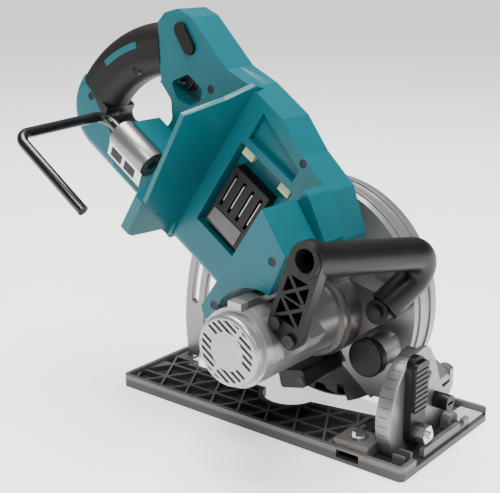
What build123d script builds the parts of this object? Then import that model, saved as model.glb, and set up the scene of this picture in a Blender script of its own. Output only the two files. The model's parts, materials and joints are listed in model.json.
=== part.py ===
from build123d import *
import os
from math import cos, hypot, radians, sin

# Cordless circular saw with a rear handle and the blade on its left side.
# Row frame: +X is the cutting direction, +Y the blade side, +Z up.
# The origin is on the sole, in the blade's plane, under the depth pivot.

# Clearances
RUN = 0.05
FIT = 0.3
SEAT = 0.1

# Sole plate
BASE_FRONT = 30.0
BASE_MOTOR_SIDE = -95.0
BASE_BLADE_SIDE = 43.0
BASE_CORNER = 5.0
DECK_T = 3.0
TOE_T = 5.0
RIM_H = 11.0
RIM_T = 4.0
RIB_H = 8.0
RIB_T = 2.0
CELL_SIDE = 28.6
SLOT_BACK_WALL = 29.0
SLOT_FRONT = -20.0
SLOT_BLADE_SIDE = 24.0
SLOT_MOTOR_SIDE = -34.0
SLOT_NOSE_SIDE = -22.0
TAIL_BLADE_SIDE = 14.0
TAIL_MOTOR_SIDE = -26.0
NOTCH_X = -118.0
NOTCH_Y = -30.0
NOTCH_R = 24.0
LATTICE_FRONT = -42.0
FENCE_X = -18.0
FENCE_Y = -78.0
FENCE_W = 20.0
FENCE_H = 6.5
FENCE_LENGTH = 26.0
FENCE_WALL = 5.0
FENCE_BRIDGE_H = 13.0
FENCE_SCREW_R = 3.0
FENCE_HEAD_R = 7.0

# Bevel hinge along X, and the parts around it
BEVEL_Z = 11.0
BEVEL_PIN_R = 4.0
LUG_R = 8.0
FRONT_LUG_X = 13.0
FRONT_LUG_T = 7.0
LUG_INSET = 0.5
LUG_GAP = 2.0
REAR_LUG_T = 7.0
GUIDE_LUG_BACK = 8.5
GUIDE_LUG_T = 6.0
PLATE_X = -1.4
QUADRANT_X = 7.0
QUADRANT_T = 4.0
QUADRANT_BAND = 5.0
QUADRANT_BAND_T = 13.0
BEVEL_SLOT_R = 53.0
BEVEL_BOLT_ANGLE = 11.0
BEVEL_TRAVEL = 50.0
BEVEL_BOLT_R = 3.0
PLATE_T = 8.0
LEVER_T = 9.0
LEVER_W = 22.0
LEVER_LENGTH = 62.0
NUT_T = 9.0
STOP_Y = -14.0
STOP_Z = 33.0
STOP_R = 6.5
STOP_LENGTH = 13.0

# Depth hinge along Y
PIVOT_Z = 40.0
PIVOT_R = 4.0
PIVOT_HUB_R = 6.5
EAR_T = 6.0
EAR_R = 9.0
PIN_HEAD_R = 6.0
PIN_HEAD_T = 1.5
BODY_TILT = 34.5
DEPTH_TRAVEL = 28.0
GUIDE_GAP = 5.9
GUIDE_HALF = 11.0
GUIDE_W = 13.0
GUIDE_T = 6.0
GUIDE_TOP_ANGLE = 39.0
GUIDE_BOLT_ANGLE = 34.0
GUIDE_BOLT_R = 3.5
CLAMP_LOW = 4.0
CLAMP_HUB_R = 9.0

# Blade, guards and spindle, in the tilted body: u forward, v up, w towards the motor
SPINDLE_U = -119.7
SPINDLE_V = -14.8
BLADE_R = 92.5
BLADE_T = 2.0
BLADE_TEETH = 24
TOOTH_DEPTH = 10.0
ARBOR_R = 10.0
FLANGE_R = 20.0
INNER_FLANGE_T = 7.0
OUTER_FLANGE_T = 3.5
BOLT_R = 4.0
BOLT_HEAD_R = 8.0
BOLT_HEAD_T = 6.0
SPINDLE_R = 7.5
BLADE_ROOM = 1.5
LOWER_GUARD_T = 1.2
LOWER_GUARD_HALF = 14.4
LOWER_GUARD_NEAR = 12.0
LOWER_GUARD_START = -188.0
LOWER_GUARD_END = -8.0
GUARD_BAND_R = 80.0
GUARD_HUB_WALL = 5.0
BLADE_SIDE_ROOM = 1.2
GUARD_GAP = 0.8
GUARD_WALL = 2.0
GUARD_RIDGE = 1.5
GUARD_HALF = 17.0
GUARD_EDGE_DROP = 22.0
GUARD_EDGE_TILT = 4.5
GUARD_BOSS_R = 22.0
GUARD_BOSS_START = 9.0
GUARD_ARM_ANGLE = -36.0
GUARD_ARM_END = 26.5
OUTLET_R = 13.0
OUTLET_END = 44.0
OUTLET_WALL = 2.0

# Gears, gear case and motor
MODULE = 1.25
PINION_TEETH = 10
GEAR_TEETH = 40
GEAR_CENTRES = MODULE * (PINION_TEETH + GEAR_TEETH) / 2
MOTOR_ANGLE = 39.8
GEAR_START = 25.0
GEAR_T = 11.0
CASE_R = 36.0
SPINDLE_CASE_R = 30.0
CASE_WALL = 3.0
CASE_START = 22.0
CASE_END = 60.0
CASE_FLOOR = 43.0
FRONT_BEARING_R = 17.5
FRONT_BEARING_T = 11.0
BEARING_R = 13.0
BEARING_T = 9.0
SHAFT_R = 4.0
MOTOR_R = 30.0
MOTOR_WALL = 2.5
MOTOR_END = 150.0
CAP_R = 27.0
CAP_END = 166.0
CAP_DISC_R = 11.0
STATOR_START = 80.0
STATOR_T = 40.0
STATOR_BORE_R = 17.0
AIR_GAP = 0.6
FAN_R = 25.0
FAN_T = 8.0
FAN_START = 63.0

# Work lamp
LAMP_ANGLE = -42.0
LAMP_DROP = 5.5
LAMP_W = 24.0
LAMP_H = 14.0
LAMP_ROUND = 3.0
LAMP_LENGTH = 50.0
LAMP_OVERLAP = 10.0
LENS_DROP = 1.5
LENS_INSET = 3.0
LENS_T = 2.0

# Housing
HOUSING_BLADE_SIDE = 28.0
HOUSING_SPLIT = 45.0
HOUSING_MOTOR_SIDE = 62.0
HOUSING_WALL = 3.0
CASE_ROOM = 3.0
WING_FRONT = -239.0
WING_T = 4.0
FLAP_BACK = -252.0
BLOCK_REACH = 135.0
BLOCK_STEP = 94.0
SHOULDER_REACH = 91.0
BAY_FLOOR = 50.0
POCKET_FLOOR = 56.0
SCREW_R = 3.4
SCREW_SHANK_R = 2.0
SCREW_HEAD = 4.0
SCREW_SUNK = 0.5
SCREW_BITE = 6.0
BLOCK_SCREW_LENGTH = 25.0
REAR_FILLET = 10.0
FLOOR_V = -50.0

# Rear grip: a rounded bar bent round a centre in the body's plane
GRIP_CENTRE = (-269.0, -10.0)
GRIP_R = 110.0
GRIP_DEPTH = 44.0
GRIP_WIDTH = 36.0
GRIP_ROUND = 15.0
GRIP_SKIN = 3.0
GRIP_START = 127.3
GRIP_END = 176.0
GRIP_ROOT = 1.5
GRIP_SCREW_DEPTH = 7.8
GRIP_SCREW_ANGLE = 144.5
TAIL_SCREW_ANGLE = 178.85

# Trigger, switch and lock-off button
TRIGGER_LOW = 38.0
TRIGGER_HIGH = 52.0
TRIGGER_ROOM = 0.6
SWITCH_LOW = 36.0
SWITCH_HIGH = 54.0
LOCK_LENGTH = 28.0
LOCK_WIDTH = 11.0
LOCK_ANGLE = -23.0
LOCK_PROUD = 3.0

# Front handle
TUBE_R = 12.5
TUBE_BORE_R = 8.5
HANDLE_V = 95.0
HANDLE_LEFT = (-93.0, HANDLE_V, 146.0)
HANDLE_RIGHT = (-58.0, HANDLE_V, 6.0)
HANDLE_FOOT_UV = (-56.0, 46.0)
HANDLE_LUG_R = 9.0
HANDLE_LUG_END = 44.0
HANDLE_BEND_R = 16.0
LEG_T = 10.0
LEG_START = 136.0
HANDLE_SCREW_R = 3.0
HANDLE_HEAD_R = 5.0
HANDLE_HEAD_T = 3.0

# Hanging hook
HOOK_R = 4.25
HOOK_V = 16.0
HOOK_W = 96.0
HOOK_REACH = 97.0
HOOK_BEND_R = 12.0
HOOK_BACK = -331.0
HOOK_TIP = -240.0
BRACKET_BACK = -309.0
BRACKET_FRONT = -268.0
BRACKET_R = 12.0
HOOK_DEPTH = 20.0

COS_T = cos(radians(BODY_TILT))
SIN_T = sin(radians(BODY_TILT))
MOTOR_U = SPINDLE_U + GEAR_CENTRES * cos(radians(MOTOR_ANGLE))
MOTOR_V = SPINDLE_V + GEAR_CENTRES * sin(radians(MOTOR_ANGLE))
SPINDLE = (SPINDLE_U, SPINDLE_V)
MOTOR = (MOTOR_U, MOTOR_V)
CLEAR_R = CASE_R + CASE_ROOM
HALF_BLADE = BLADE_T / 2
LOWER_GUARD_R = BLADE_R + BLADE_ROOM + LOWER_GUARD_T
UPPER_GUARD_R = LOWER_GUARD_R + GUARD_GAP + GUARD_WALL
GUIDE_R = hypot(SPINDLE_U, SPINDLE_V) + UPPER_GUARD_R + GUARD_RIDGE + GUIDE_GAP + GUIDE_HALF
GUIDE_LUG_X = -GUIDE_R - GUIDE_LUG_BACK
REAR_LUG_X = GUIDE_LUG_X - LUG_GAP - REAR_LUG_T
BASE_BACK = REAR_LUG_X - LUG_INSET
TAIL_BACK = GUIDE_LUG_X - LUG_GAP / 2
SLOT_BACK = BASE_BACK + SLOT_BACK_WALL
GRIP_OUTER = GRIP_R + GRIP_DEPTH / 2
HOOK_SEAT = BRACKET_BACK + HOOK_DEPTH

STANDING = (Align.CENTER, Align.CENTER, Align.MIN)

os.makedirs("parts", exist_ok=True)


def row_point(u, v, w):
    return (u * COS_T + v * SIN_T, -w, PIVOT_Z - u * SIN_T + v * COS_T)


def body_plane(w):
    return Plane(origin=row_point(0, 0, w), x_dir=(COS_T, 0, -SIN_T), z_dir=(0, -1, 0))


def cross_plane(u):
    return Plane(origin=row_point(u, 0, 0), x_dir=(0, -1, 0), z_dir=(-COS_T, 0, SIN_T))


def bevel_plane(x):
    return Plane(origin=(x, 0, BEVEL_Z), x_dir=(0, -1, 0), z_dir=(-1, 0, 0))


def side_plane(w):
    return Plane(origin=(0, -w, PIVOT_Z), x_dir=(1, 0, 0), z_dir=(0, -1, 0))


def polar(radius, degrees_up, centre=(0.0, 0.0)):
    angle = radians(degrees_up)
    return (centre[0] + radius * cos(angle), centre[1] + radius * sin(angle))


def cylinder(centre, radius, start, end, mode=Mode.ADD):
    with BuildSketch(body_plane(start)) as profile:
        with Locations(centre):
            Circle(radius)
    extrude(profile.sketch, amount=end - start, mode=mode)


def cylinder_x(centre, radius, start, end, mode=Mode.ADD):
    with BuildSketch(bevel_plane(end)) as profile:
        with Locations(centre):
            Circle(radius)
    extrude(profile.sketch, amount=end - start, mode=mode)


def block(points, start, end, mode=Mode.ADD):
    with BuildSketch(body_plane(start)) as profile:
        with BuildLine():
            Polyline(*points, close=True)
        make_face()
    extrude(profile.sketch, amount=end - start, mode=mode)


def case_hull(growth, start, end, mode=Mode.ADD):
    with BuildSketch(body_plane(start)) as profile:
        with Locations(SPINDLE):
            Circle(SPINDLE_CASE_R + growth)
        with Locations(MOTOR):
            Circle(CASE_R + growth)
        make_hull()
    extrude(profile.sketch, amount=end - start, mode=mode)


def sector(centre, radius, bore, start_angle, end_angle, start, end, mode=Mode.ADD):
    middle = (start_angle + end_angle) / 2
    with BuildSketch(body_plane(start)) as profile:
        with BuildLine():
            ThreePointArc(
                polar(radius, start_angle, centre),
                polar(radius, middle, centre),
                polar(radius, end_angle, centre),
            )
            Line(polar(radius, end_angle, centre), polar(bore, end_angle, centre))
            ThreePointArc(
                polar(bore, end_angle, centre),
                polar(bore, middle, centre),
                polar(bore, start_angle, centre),
            )
            Line(polar(bore, start_angle, centre), polar(radius, start_angle, centre))
        make_face()
    extrude(profile.sketch, amount=end - start, mode=mode)


def arc_slot(plane, radius, half, start_angle, end_angle, depth):
    middle = (start_angle + end_angle) / 2
    outer = radius + half
    inner = radius - half
    with BuildSketch(plane) as profile:
        with BuildLine():
            ThreePointArc(polar(outer, start_angle), polar(outer, middle), polar(outer, end_angle))
            Line(polar(outer, end_angle), polar(inner, end_angle))
            ThreePointArc(polar(inner, end_angle), polar(inner, middle), polar(inner, start_angle))
            Line(polar(inner, start_angle), polar(outer, start_angle))
        make_face()
        with Locations(polar(radius, start_angle), polar(radius, end_angle)):
            Circle(half)
    extrude(profile.sketch, amount=depth, mode=Mode.SUBTRACT)


def ring(name, centre, outer, inner, start, end):
    with BuildPart() as piece:
        cylinder(centre, outer, start, end)
        cylinder(centre, inner, start, end, mode=Mode.SUBTRACT)
    save(piece, name)


def gear_points(teeth, phase, centre):
    tip = MODULE * (teeth / 2 + 0.85)
    root = MODULE * (teeth / 2 - 1.25)
    step = 360 / teeth
    points = []
    for tooth in range(teeth):
        middle = phase + tooth * step
        for radius, share in ((root, -0.3), (tip, -0.11), (tip, 0.11), (root, 0.3)):
            points.append(polar(radius, middle + share * step, centre))
    return points


def save(piece, name):
    piece.part.label = name
    export_step(piece.part, f"parts/{name}.step")


# Sole plate with its lattice of ribs
slot_points = [
    (SLOT_BACK, SLOT_BLADE_SIDE),
    (SLOT_BACK, TAIL_BLADE_SIDE),
    (TAIL_BACK, TAIL_BLADE_SIDE),
    (TAIL_BACK, TAIL_MOTOR_SIDE),
    (SLOT_BACK, TAIL_MOTOR_SIDE),
    (SLOT_BACK, SLOT_MOTOR_SIDE),
    (-92.0, SLOT_MOTOR_SIDE),
    (-30.0, SLOT_NOSE_SIDE),
    (SLOT_FRONT, SLOT_NOSE_SIDE + 8),
    (SLOT_FRONT, SLOT_BLADE_SIDE),
]
base_length = BASE_FRONT - BASE_BACK
base_width = BASE_BLADE_SIDE - BASE_MOTOR_SIDE
base_centre = ((BASE_FRONT + BASE_BACK) / 2, (BASE_BLADE_SIDE + BASE_MOTOR_SIDE) / 2)
cell_height = CELL_SIDE * sin(radians(60))
pocket_r = 2 * (cell_height / 3 - RIB_T / 2)
upright_cells = []
hanging_cells = []
for row in range(6):
    for column in range(11):
        cell_x = BASE_BACK + (column + 0.5 * (row % 2)) * CELL_SIDE
        cell_y = BASE_MOTOR_SIDE + row * cell_height
        upright_cells.append((cell_x, cell_y + cell_height / 3))
        hanging_cells.append((cell_x + CELL_SIDE / 2, cell_y + cell_height * 2 / 3))


def slot_face(growth, mode):
    with BuildSketch(mode=Mode.PRIVATE) as opening:
        with BuildLine():
            Polyline(*slot_points, close=True)
        make_face()
        with Locations((NOTCH_X, NOTCH_Y)):
            Circle(NOTCH_R)
        if growth > 0:
            offset(amount=growth, kind=Kind.INTERSECTION)
    add(opening.sketch, mode=mode)


with BuildPart() as base_plate:
    with BuildSketch():
        with Locations(base_centre):
            RectangleRounded(base_length, base_width, BASE_CORNER)
        slot_face(0, Mode.SUBTRACT)
    extrude(amount=RIB_H)
    with BuildSketch(Plane.XY.offset(RIB_H)):
        with Locations(base_centre):
            RectangleRounded(base_length, base_width, BASE_CORNER)
            RectangleRounded(
                base_length - 2 * RIM_T, base_width - 2 * RIM_T, BASE_CORNER - 1, mode=Mode.SUBTRACT
            )
    extrude(amount=RIM_H - RIB_H)
    # Triangular cells between the ribs, and the plain sunk deck at the front
    with BuildSketch(Plane.XY.offset(DECK_T)):
        with Locations(*upright_cells):
            RegularPolygon(pocket_r, 3, rotation=-30)
        with Locations(*hanging_cells):
            RegularPolygon(pocket_r, 3, rotation=30)
        with BuildSketch(mode=Mode.PRIVATE) as deck:
            with Locations(base_centre):
                Rectangle(base_length - 2 * RIM_T, base_width - 2 * RIM_T)
            with Locations((LATTICE_FRONT - base_length / 2, 0)):
                Rectangle(base_length, 2 * base_width, mode=Mode.INTERSECT)
            slot_face(RIM_T, Mode.SUBTRACT)
        add(deck.sketch, mode=Mode.INTERSECT)
    extrude(amount=RIB_H, mode=Mode.SUBTRACT)
    with BuildSketch(Plane.XY.offset(TOE_T)):
        with Locations(((LATTICE_FRONT + BASE_FRONT) / 2, base_centre[1])):
            Rectangle(BASE_FRONT - LATTICE_FRONT - 2 * RIM_T, base_width - 2 * RIM_T)
        slot_face(RIM_T, Mode.SUBTRACT)
    extrude(amount=RIB_H, mode=Mode.SUBTRACT)
    # The front rim is low, so that the toe is flat
    with Locations((BASE_FRONT, base_centre[1] + 8, TOE_T)):
        Box(2 * RIM_T, base_width - 24, RIM_H, align=STANDING, mode=Mode.SUBTRACT)
    # Channel for the rip fence's bar
    with Locations((FENCE_X, FENCE_Y, DECK_T)):
        Box(FENCE_W, 3 * FENCE_LENGTH, FENCE_H, align=STANDING, mode=Mode.SUBTRACT)
    # Front wall, two fins and the lug of the bevel hinge
    with Locations((26, -24, DECK_T)):
        Box(4, 72, 10, align=STANDING)
    with Locations((19, -72, DECK_T), (19, -82, DECK_T)):
        Box(10, 2, 11, align=STANDING)
    for lug_x, lug_t in ((FRONT_LUG_X, FRONT_LUG_T), (REAR_LUG_X, REAR_LUG_T)):
        with BuildSketch(bevel_plane(lug_x + lug_t)):
            Circle(LUG_R)
            with Locations((0, -LUG_R / 2)):
                Rectangle(2 * LUG_R, LUG_R)
        extrude(amount=lug_t)
    with BuildSketch(bevel_plane(BASE_FRONT)):
        Circle(BEVEL_PIN_R)
    extrude(amount=base_length, mode=Mode.SUBTRACT)
save(base_plate, "base_plate")

# Bridge over the rip fence's channel
fence_top = DECK_T + FENCE_BRIDGE_H
with BuildPart() as fence_bridge:
    with Locations((FENCE_X, FENCE_Y, TOE_T)):
        Box(
            FENCE_W + 2 * FENCE_WALL,
            FENCE_LENGTH,
            fence_top - TOE_T,
            align=STANDING,
        )
    with Locations((FENCE_X, FENCE_Y, DECK_T)):
        Box(FENCE_W, FENCE_LENGTH, FENCE_H, align=STANDING, mode=Mode.SUBTRACT)
    with Locations((FENCE_X, FENCE_Y, fence_top)):
        Cylinder(FENCE_SCREW_R + SEAT, 2 * FENCE_BRIDGE_H, mode=Mode.SUBTRACT)
save(fence_bridge, "fence_bridge")

bevel_bolt = polar(BEVEL_SLOT_R, BEVEL_BOLT_ANGLE)
stop_centre = (-STOP_Y, STOP_Z - BEVEL_Z)
deck_b = TOE_T - BEVEL_Z
quadrant_front = QUADRANT_X + QUADRANT_T

# Bevel quadrant that stands across the front of the sole
with BuildPart() as bevel_quadrant:
    with BuildSketch(bevel_plane(quadrant_front)):
        with BuildLine():
            Line((-LUG_R, deck_b), (74, deck_b))
            ThreePointArc((74, deck_b), (79, 42), (40, 72))
            ThreePointArc((40, 72), (32, 72), (25, 68))
            Polyline((25, 68), (17, 57), (8, 37), (-7, 14), (-LUG_R, deck_b))
        make_face()
    extrude(amount=QUADRANT_T)
    with BuildSketch(bevel_plane(quadrant_front)):
        with BuildLine():
            Line((62, deck_b), (74, deck_b))
            ThreePointArc((74, deck_b), (79, 42), (40, 72))
            Line((40, 72), (38, 72 - QUADRANT_BAND))
            ThreePointArc((38, 72 - QUADRANT_BAND), (74, 41), (70, 6))
            Line((70, 6), (62, deck_b))
        make_face()
    extrude(amount=QUADRANT_BAND_T)
    arc_slot(
        bevel_plane(quadrant_front),
        BEVEL_SLOT_R,
        BEVEL_BOLT_R + FIT,
        BEVEL_BOLT_ANGLE,
        BEVEL_BOLT_ANGLE + BEVEL_TRAVEL,
        QUADRANT_T,
    )
    cylinder_x((0, 0), BEVEL_PIN_R + SEAT, QUADRANT_X - 1, quadrant_front + 1, mode=Mode.SUBTRACT)
    cylinder_x(stop_centre, BEVEL_BOLT_R + RUN, QUADRANT_X - 1, quadrant_front + 1, mode=Mode.SUBTRACT)
save(bevel_quadrant, "bevel_quadrant")

# Bevel hinge pins, fixed in the sole's lugs
with BuildPart() as bevel_pins:
    cylinder_x((0, 0), BEVEL_PIN_R, PLATE_X, FRONT_LUG_X + FRONT_LUG_T)
    cylinder_x((0, 0), BEVEL_PIN_R, REAR_LUG_X, GUIDE_LUG_X + GUIDE_LUG_T)
save(bevel_pins, "bevel_pins")

# Screw that clamps the rip fence
with BuildPart() as fence_screw:
    with Locations((FENCE_X, FENCE_Y, DECK_T + FENCE_H)):
        Cylinder(FENCE_SCREW_R, 8, align=STANDING)
    with Locations((FENCE_X, FENCE_Y, fence_top + FIT)):
        Cylinder(FENCE_HEAD_R, 3, align=STANDING)
    with Locations((FENCE_X, FENCE_Y, fence_top + 2 + FIT)):
        Box(3, 16, 5, align=STANDING)
save(fence_screw, "fence_screw")

# Pale sight plate with the cutting line at the front
with BuildPart() as sight_plate:
    with Locations((BASE_FRONT - 13, 26, TOE_T)):
        Box(20, 26, 1.5, align=STANDING)
save(sight_plate, "sight_plate")

# Front carriage plate with the two ears of the depth pivot
plate_front = PLATE_X + PLATE_T
ear_start = GUARD_HALF + FIT
with BuildPart() as front_carriage:
    with BuildSketch(bevel_plane(plate_front)):
        with BuildLine():
            Polyline(
                (-2, deck_b + 1),
                (60, deck_b + 1),
                (64, 12),
                (54, 22),
                (26, 17),
                (-ear_start - EAR_T, 26),
                (-ear_start - EAR_T, 20.5),
                close=True,
            )
        make_face()
    extrude(amount=PLATE_T)
    for start, end, low in (
        (ear_start, ear_start + EAR_T, deck_b + 1),
        (-ear_start - EAR_T, -ear_start, 20.5),
    ):
        with BuildSketch(side_plane(start)):
            Circle(EAR_R)
            with Locations((plate_front, 0)):
                Rectangle(EAR_R, 2 * EAR_R, align=(Align.MIN, Align.CENTER), mode=Mode.SUBTRACT)
            with Locations((PLATE_X + PLATE_T / 2, BEVEL_Z + low - PIVOT_Z)):
                Rectangle(PLATE_T, PIVOT_Z - BEVEL_Z - low, align=(Align.CENTER, Align.MIN))
        extrude(amount=end - start)
    with BuildSketch(side_plane(-ear_start - EAR_T)):
        Circle(PIVOT_R)
    extrude(amount=2 * (ear_start + EAR_T), mode=Mode.SUBTRACT)
    with BuildSketch(side_plane(-ear_start)):
        Circle(PIVOT_HUB_R + 1)
    extrude(amount=2 * ear_start, mode=Mode.SUBTRACT)
    cylinder_x((0, 0), BEVEL_PIN_R + RUN, PLATE_X, plate_front, mode=Mode.SUBTRACT)
    cylinder_x(bevel_bolt, BEVEL_BOLT_R, PLATE_X, plate_front, mode=Mode.SUBTRACT)
save(front_carriage, "front_carriage")

# Pin of the depth pivot, fixed in the carriage's ears
with BuildPart() as depth_pivot_pin:
    with BuildSketch(side_plane(-ear_start - EAR_T)):
        Circle(PIVOT_R)
    extrude(amount=2 * (ear_start + EAR_T))
    with BuildSketch(side_plane(ear_start + EAR_T)):
        Circle(PIN_HEAD_R)
    extrude(amount=PIN_HEAD_T)
    with BuildSketch(side_plane(-ear_start - EAR_T - PIN_HEAD_T)):
        Circle(PIN_HEAD_R)
    extrude(amount=PIN_HEAD_T)
save(depth_pivot_pin, "depth_pivot_pin")

# Curved depth guide at the rear, with the slot for its clamping bolt
guide_outer = GUIDE_R + GUIDE_HALF
guide_inner = GUIDE_R - GUIDE_HALF
guide_top = 180 - GUIDE_TOP_ANGLE
guide_mid = 180 - GUIDE_TOP_ANGLE / 2
guide_foot = BEVEL_Z - PIVOT_Z - 2
with BuildPart() as depth_guide:
    with BuildSketch(side_plane(GUIDE_W)):
        with BuildLine():
            ThreePointArc((-guide_outer, 0), polar(guide_outer, guide_mid), polar(guide_outer, guide_top))
            Line(polar(guide_outer, guide_top), polar(guide_inner, guide_top))
            ThreePointArc(polar(guide_inner, guide_top), polar(guide_inner, guide_mid), (-guide_inner, 0))
            Polyline(
                (-guide_inner, 0),
                (-guide_inner - 6, guide_foot),
                (GUIDE_LUG_X, guide_foot),
                (-guide_outer, 0),
            )
        make_face()
    extrude(amount=GUIDE_T)
    arc_slot(
        side_plane(GUIDE_W),
        GUIDE_R,
        GUIDE_BOLT_R + FIT,
        180 - GUIDE_BOLT_ANGLE,
        180 - GUIDE_BOLT_ANGLE + DEPTH_TRAVEL,
        GUIDE_T,
    )
    with BuildSketch(bevel_plane(GUIDE_LUG_X + GUIDE_LUG_T)):
        Circle(LUG_R - 1)
        with Locations(((GUIDE_W + GUIDE_T) / 2, 0)):
            Rectangle(GUIDE_W + GUIDE_T, 2 * LUG_R - 6)
        Circle(BEVEL_PIN_R + RUN, mode=Mode.SUBTRACT)
    extrude(amount=GUIDE_LUG_T)
save(depth_guide, "depth_guide")

# Clamping bolt of the bevel, its lever and its nut
with BuildPart() as bevel_bolt_piece:
    cylinder_x(bevel_bolt, BEVEL_BOLT_R, PLATE_X, quadrant_front + LEVER_T + NUT_T)
    cylinder_x(bevel_bolt, 2 * BEVEL_BOLT_R, PLATE_X - 4, PLATE_X)
save(bevel_bolt_piece, "bevel_bolt")

lever_back = quadrant_front + FIT
with BuildPart() as bevel_lever:
    with BuildSketch(bevel_plane(lever_back + LEVER_T - 3)):
        with Locations(bevel_bolt):
            Circle(LEVER_W / 2)
        with Locations((bevel_bolt[0] + 2, bevel_bolt[1] + LEVER_LENGTH - 10)):
            Circle(LEVER_W / 2 - 1)
        make_hull()
        with Locations(bevel_bolt):
            Circle(BEVEL_BOLT_R + RUN, mode=Mode.SUBTRACT)
    extrude(amount=LEVER_T - 3)
    with BuildSketch(bevel_plane(lever_back + LEVER_T)):
        with Locations((bevel_bolt[0] + 1.5, bevel_bolt[1] + LEVER_LENGTH - 24)):
            RectangleRounded(LEVER_W - 3, 40, 4)
    extrude(amount=4)
    for step in range(9):
        with Locations((lever_back + LEVER_T, -bevel_bolt[0] - 1.5, BEVEL_Z + bevel_bolt[1] + 20 + 4 * step)):
            Box(1.6, LEVER_W, 1.4, mode=Mode.SUBTRACT)
save(bevel_lever, "bevel_lever")

with BuildPart() as bevel_nut:
    with BuildSketch(bevel_plane(lever_back + LEVER_T - 3 + NUT_T)):
        with Locations(bevel_bolt):
            RegularPolygon(7.5, 6)
            Circle(BEVEL_BOLT_R + RUN, mode=Mode.SUBTRACT)
    extrude(amount=NUT_T)
save(bevel_nut, "bevel_nut")

# Positive stop for the bevel, a knob that turns in the quadrant
with BuildPart() as stop_knob:
    cylinder_x(stop_centre, BEVEL_BOLT_R, QUADRANT_X, quadrant_front + FIT)
    cylinder_x(stop_centre, STOP_R, quadrant_front + FIT, quadrant_front + FIT + STOP_LENGTH)
    with BuildSketch(bevel_plane(quadrant_front + FIT + STOP_LENGTH)):
        with Locations(stop_centre):
            Rectangle(9, 2)
    extrude(amount=1.5, mode=Mode.SUBTRACT)
save(stop_knob, "stop_knob")

# Saw blade
tooth_step = 360 / BLADE_TEETH
blade_points = []
for tooth in range(BLADE_TEETH):
    tip_angle = tooth * tooth_step
    blade_points += [
        polar(BLADE_R - 0.3 * TOOTH_DEPTH, tip_angle - 0.42 * tooth_step, SPINDLE),
        polar(BLADE_R, tip_angle, SPINDLE),
        polar(BLADE_R - TOOTH_DEPTH, tip_angle + 0.08 * tooth_step, SPINDLE),
        polar(BLADE_R - TOOTH_DEPTH, tip_angle + 0.3 * tooth_step, SPINDLE),
    ]
with BuildPart() as blade:
    block(blade_points, -HALF_BLADE, HALF_BLADE)
    cylinder(SPINDLE, ARBOR_R, -HALF_BLADE, HALF_BLADE, mode=Mode.SUBTRACT)
save(blade, "blade")

# Spindle with what turns on it
spindle_end = CASE_FLOOR + BEARING_T
flange_end = HALF_BLADE + INNER_FLANGE_T
with BuildPart() as spindle:
    cylinder(SPINDLE, SPINDLE_R, HALF_BLADE, spindle_end)
    cylinder(SPINDLE, BOLT_R, HALF_BLADE, GUARD_HALF, mode=Mode.SUBTRACT)
save(spindle, "spindle")

with BuildPart() as inner_flange:
    cylinder(SPINDLE, FLANGE_R, HALF_BLADE, flange_end)
    cylinder(SPINDLE, ARBOR_R - RUN, -HALF_BLADE, HALF_BLADE)
    cylinder(SPINDLE, SPINDLE_R, HALF_BLADE, flange_end, mode=Mode.SUBTRACT)
    cylinder(SPINDLE, BOLT_R, -HALF_BLADE, HALF_BLADE, mode=Mode.SUBTRACT)
save(inner_flange, "inner_flange")

ring("outer_flange", SPINDLE, FLANGE_R - 2, BOLT_R, -HALF_BLADE - OUTER_FLANGE_T, -HALF_BLADE)

bolt_seat = -HALF_BLADE - OUTER_FLANGE_T
with BuildPart() as blade_bolt:
    cylinder(SPINDLE, BOLT_R - RUN, bolt_seat, GUARD_HALF - 1)
    with BuildSketch(body_plane(bolt_seat - BOLT_HEAD_T)):
        with Locations(SPINDLE):
            RegularPolygon(BOLT_HEAD_R, 6)
    extrude(amount=BOLT_HEAD_T)
save(blade_bolt, "blade_bolt")

with BuildPart() as drive_gear:
    block(gear_points(GEAR_TEETH, MOTOR_ANGLE + 180 / GEAR_TEETH, SPINDLE), GEAR_START, GEAR_START + GEAR_T)
    cylinder(SPINDLE, SPINDLE_R, GEAR_START, GEAR_START + GEAR_T, mode=Mode.SUBTRACT)
save(drive_gear, "drive_gear")

# Motor's turning parts
with BuildPart() as rotor_shaft:
    cylinder(MOTOR, SHAFT_R, GEAR_START - 1, CAP_END - 6)
save(rotor_shaft, "rotor_shaft")

with BuildPart() as pinion:
    block(gear_points(PINION_TEETH, MOTOR_ANGLE + 180, MOTOR), GEAR_START, GEAR_START + GEAR_T)
    cylinder(MOTOR, SHAFT_R, GEAR_START, GEAR_START + GEAR_T, mode=Mode.SUBTRACT)
save(pinion, "pinion")

ring("rotor_core", MOTOR, STATOR_BORE_R - AIR_GAP, SHAFT_R, STATOR_START + 1, STATOR_START + STATOR_T - 1)

with BuildPart() as fan:
    cylinder(MOTOR, FAN_R, FAN_START + FAN_T - 1.5, FAN_START + FAN_T)
    cylinder(MOTOR, 9, FAN_START, FAN_START + FAN_T)
    with BuildSketch(body_plane(FAN_START)):
        with Locations(MOTOR):
            with PolarLocations(FAN_R / 2 + 3, 11):
                Rectangle(FAN_R - 8, 1.4)
    extrude(amount=FAN_T)
    cylinder(MOTOR, SHAFT_R, FAN_START, FAN_START + FAN_T, mode=Mode.SUBTRACT)
save(fan, "fan")

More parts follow.
